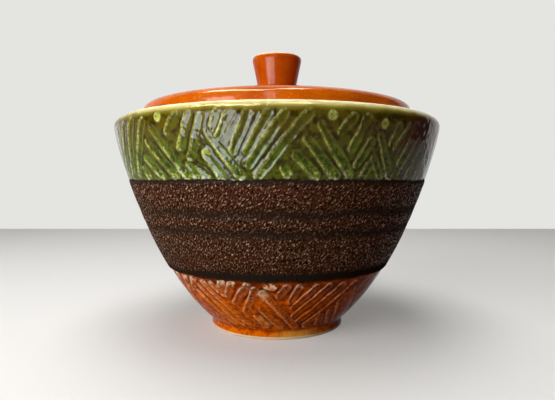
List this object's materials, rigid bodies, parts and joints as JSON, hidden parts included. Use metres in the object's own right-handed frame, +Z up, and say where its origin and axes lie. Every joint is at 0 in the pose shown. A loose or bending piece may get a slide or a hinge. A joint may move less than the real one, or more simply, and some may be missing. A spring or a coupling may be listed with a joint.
{
  "type": "covered bowl",
  "caption": "Turned stoneware bowl on a low foot ring, with three glaze bands and an inset domed lid with a flared knob.",
  "frame": {"origin": "centre of the foot ring's underside, on the surface that the bowl stands on", "axes": "+Z up along the axis that every piece is turned about; the piece looks the same from every side, so X and Y are free"},
  "size_m": [0.17, 0.17, 0.1451],
  "materials": {
    "bowl_glaze": "gloss green and rust glazes round a dull dark slip",
    "lid_glaze": "gloss rust-orange glaze"
  },
  "bodies": {
    "bowl": {"bowl": "bowl_glaze"},
    "lid": {"lid": "lid_glaze", "lid_knob": "lid_glaze"}
  },
  "joints": [
    {"name": "lid_lift", "type": "slide", "parent": "bowl", "child": "lid", "axis": [0, 0, 1], "range_m": [0, 0.08]}
  ]
}
